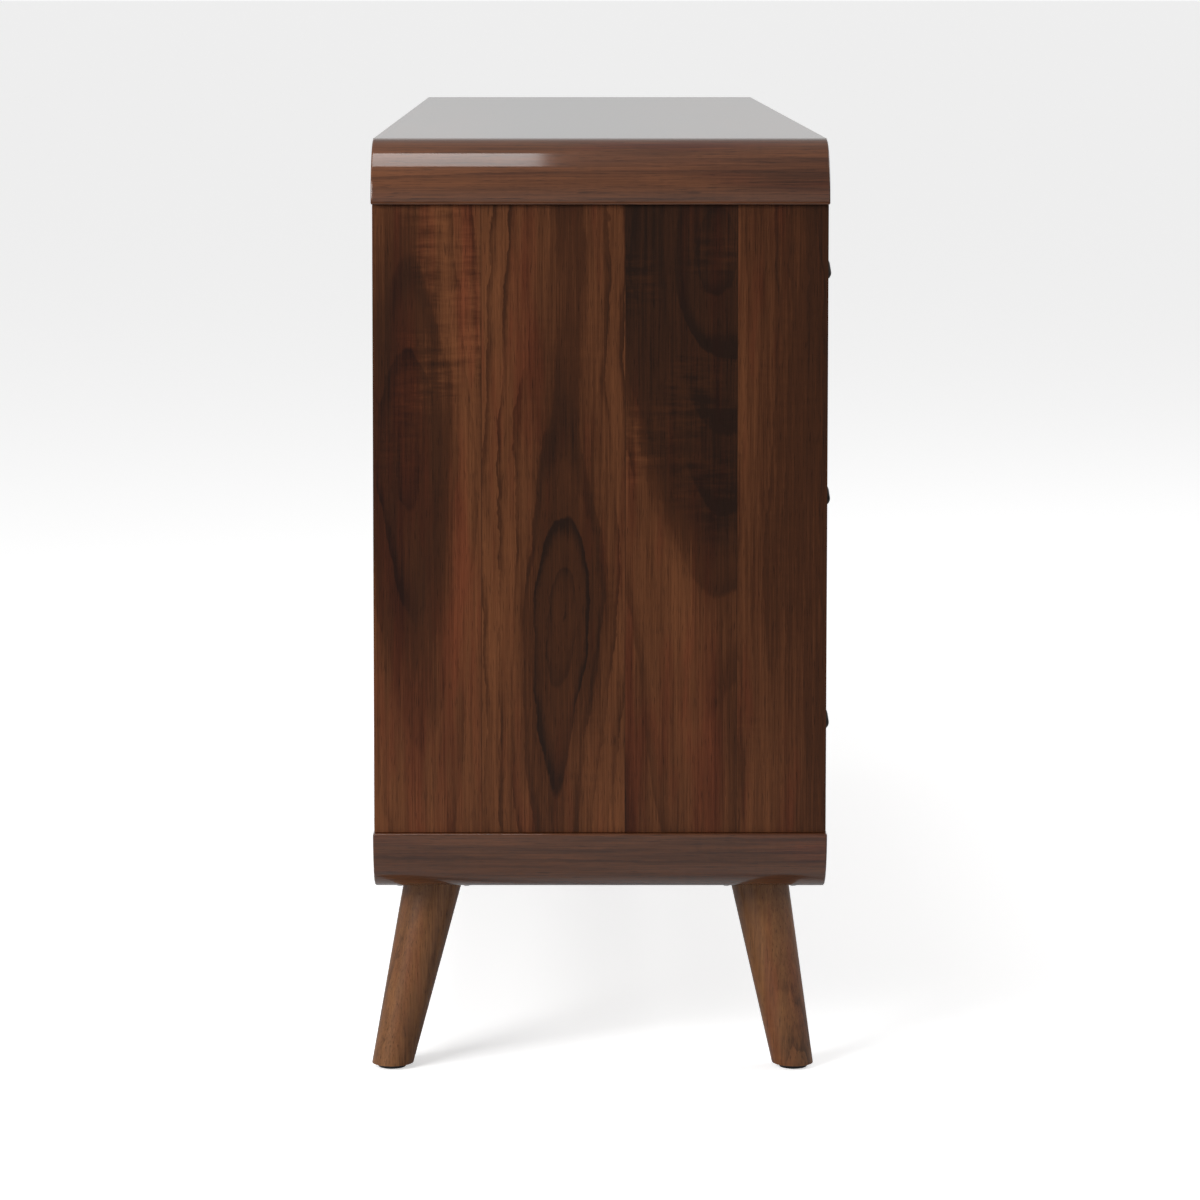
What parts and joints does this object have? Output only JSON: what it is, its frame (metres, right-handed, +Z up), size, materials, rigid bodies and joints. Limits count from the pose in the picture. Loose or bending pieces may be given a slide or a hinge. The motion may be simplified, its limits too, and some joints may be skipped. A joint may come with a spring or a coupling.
{
  "type": "console television cabinet",
  "caption": "Long walnut console cabinet for a television, with rounded end mouldings, splayed legs, stacked drawers at each end, and an open space over a pair of doors between them.",
  "frame": {"origin": "on the floor, under the middle of the whole piece's bounding box", "axes": "+X along the length towards the right end as seen from the front, +Y towards the back, +Z up"},
  "size_m": [1.7, 0.4255, 0.836],
  "materials": {
    "walnut_veneer": "satin lacquer over dark walnut veneer",
    "solid_walnut": "satin lacquer over solid walnut",
    "leg_walnut": "satin lacquer over lighter turned walnut",
    "drawer_maple": "thin clear lacquer over pale hardwood",
    "back_board": "brown-faced hardboard",
    "dark_bronze": "dark bronze, satin",
    "zinc_steel": "zinc-plated steel",
    "black_plastic": "moulded black plastic"
  },
  "bodies": {
    "case": {"top_panel": "walnut_veneer", "bottom_panel": "walnut_veneer", "left_side_panel": "walnut_veneer", "right_side_panel": "walnut_veneer", "top_left_corner": "solid_walnut", "top_right_corner": "solid_walnut", "bottom_left_corner": "solid_walnut", "bottom_right_corner": "solid_walnut", "left_divider": "walnut_veneer", "right_divider": "walnut_veneer", "fixed_shelf": "walnut_veneer", "adjustable_shelf": "walnut_veneer", "shelf_pins": "zinc_steel", "back_panel": "back_board", "cable_grommets": "black_plastic", "wood_screws": "zinc_steel", "front_left_leg": "leg_walnut", "front_right_leg": "leg_walnut", "back_left_leg": "leg_walnut", "back_right_leg": "leg_walnut", "leg_plates": "zinc_steel", "leg_glides": "black_plastic", "case_rails": "zinc_steel", "case_hinge_leaves": "dark_bronze"},
    "left_door": {"left_door": "walnut_veneer", "left_door_hinge_leaves": "dark_bronze", "left_door_knob": "dark_bronze"},
    "right_door": {"right_door": "walnut_veneer", "right_door_hinge_leaves": "dark_bronze", "right_door_knob": "dark_bronze"},
    "left_bottom_drawer": {"left_bottom_drawer_front": "walnut_veneer", "left_bottom_drawer_box": "drawer_maple", "left_bottom_drawer_pull": "dark_bronze", "left_bottom_drawer_rails": "zinc_steel"},
    "left_bottom_middle_rails": {"left_bottom_middle_rails": "zinc_steel"},
    "left_middle_drawer": {"left_middle_drawer_front": "walnut_veneer", "left_middle_drawer_box": "drawer_maple", "left_middle_drawer_pull": "dark_bronze", "left_middle_drawer_rails": "zinc_steel"},
    "left_middle_middle_rails": {"left_middle_middle_rails": "zinc_steel"},
    "left_top_drawer": {"left_top_drawer_front": "walnut_veneer", "left_top_drawer_box": "drawer_maple", "left_top_drawer_pull": "dark_bronze", "left_top_drawer_rails": "zinc_steel"},
    "left_top_middle_rails": {"left_top_middle_rails": "zinc_steel"},
    "right_bottom_drawer": {"right_bottom_drawer_front": "walnut_veneer", "right_bottom_drawer_box": "drawer_maple", "right_bottom_drawer_pull": "dark_bronze", "right_bottom_drawer_rails": "zinc_steel"},
    "right_bottom_middle_rails": {"right_bottom_middle_rails": "zinc_steel"},
    "right_middle_drawer": {"right_middle_drawer_front": "walnut_veneer", "right_middle_drawer_box": "drawer_maple", "right_middle_drawer_pull": "dark_bronze", "right_middle_drawer_rails": "zinc_steel"},
    "right_middle_middle_rails": {"right_middle_middle_rails": "zinc_steel"},
    "right_top_drawer": {"right_top_drawer_front": "walnut_veneer", "right_top_drawer_box": "drawer_maple", "right_top_drawer_pull": "dark_bronze", "right_top_drawer_rails": "zinc_steel"},
    "right_top_middle_rails": {"right_top_middle_rails": "zinc_steel"}
  },
  "joints": [
    {"name": "left_door_hinge", "type": "hinge", "parent": "case", "child": "left_door", "pos_m": [-0.38475, -0.19172, 0.1925], "axis": [0, 0, -1], "range_deg": [0, 90]},
    {"name": "right_door_hinge", "type": "hinge", "parent": "case", "child": "right_door", "pos_m": [0.38475, -0.19172, 0.1925], "axis": [0, 0, 1], "range_deg": [0, 90]},
    {"name": "left_bottom_drawer_slide", "type": "slide", "parent": "case", "child": "left_bottom_drawer", "axis": [0, -1, 0], "range_m": [0, 0.3]},
    {"name": "left_bottom_middle_slide", "type": "slide", "parent": "case", "child": "left_bottom_middle_rails", "axis": [0, -1, 0], "range_m": [0, 0.15]},
    {"name": "left_middle_drawer_slide", "type": "slide", "parent": "case", "child": "left_middle_drawer", "axis": [0, -1, 0], "range_m": [0, 0.3]},
    {"name": "left_middle_middle_slide", "type": "slide", "parent": "case", "child": "left_middle_middle_rails", "axis": [0, -1, 0], "range_m": [0, 0.15]},
    {"name": "left_top_drawer_slide", "type": "slide", "parent": "case", "child": "left_top_drawer", "axis": [0, -1, 0], "range_m": [0, 0.3]},
    {"name": "left_top_middle_slide", "type": "slide", "parent": "case", "child": "left_top_middle_rails", "axis": [0, -1, 0], "range_m": [0, 0.15]},
    {"name": "right_bottom_drawer_slide", "type": "slide", "parent": "case", "child": "right_bottom_drawer", "axis": [0, -1, 0], "range_m": [0, 0.3]},
    {"name": "right_bottom_middle_slide", "type": "slide", "parent": "case", "child": "right_bottom_middle_rails", "axis": [0, -1, 0], "range_m": [0, 0.15]},
    {"name": "right_middle_drawer_slide", "type": "slide", "parent": "case", "child": "right_middle_drawer", "axis": [0, -1, 0], "range_m": [0, 0.3]},
    {"name": "right_middle_middle_slide", "type": "slide", "parent": "case", "child": "right_middle_middle_rails", "axis": [0, -1, 0], "range_m": [0, 0.15]},
    {"name": "right_top_drawer_slide", "type": "slide", "parent": "case", "child": "right_top_drawer", "axis": [0, -1, 0], "range_m": [0, 0.3]},
    {"name": "right_top_middle_slide", "type": "slide", "parent": "case", "child": "right_top_middle_rails", "axis": [0, -1, 0], "range_m": [0, 0.15]}
  ],
  "couplings": [
    {"joint": "left_bottom_middle_slide", "follows": "left_bottom_drawer_slide", "ratio": 0.5},
    {"joint": "left_middle_middle_slide", "follows": "left_middle_drawer_slide", "ratio": 0.5},
    {"joint": "left_top_middle_slide", "follows": "left_top_drawer_slide", "ratio": 0.5},
    {"joint": "right_bottom_middle_slide", "follows": "right_bottom_drawer_slide", "ratio": 0.5},
    {"joint": "right_middle_middle_slide", "follows": "right_middle_drawer_slide", "ratio": 0.5},
    {"joint": "right_top_middle_slide", "follows": "right_top_drawer_slide", "ratio": 0.5}
  ]
}
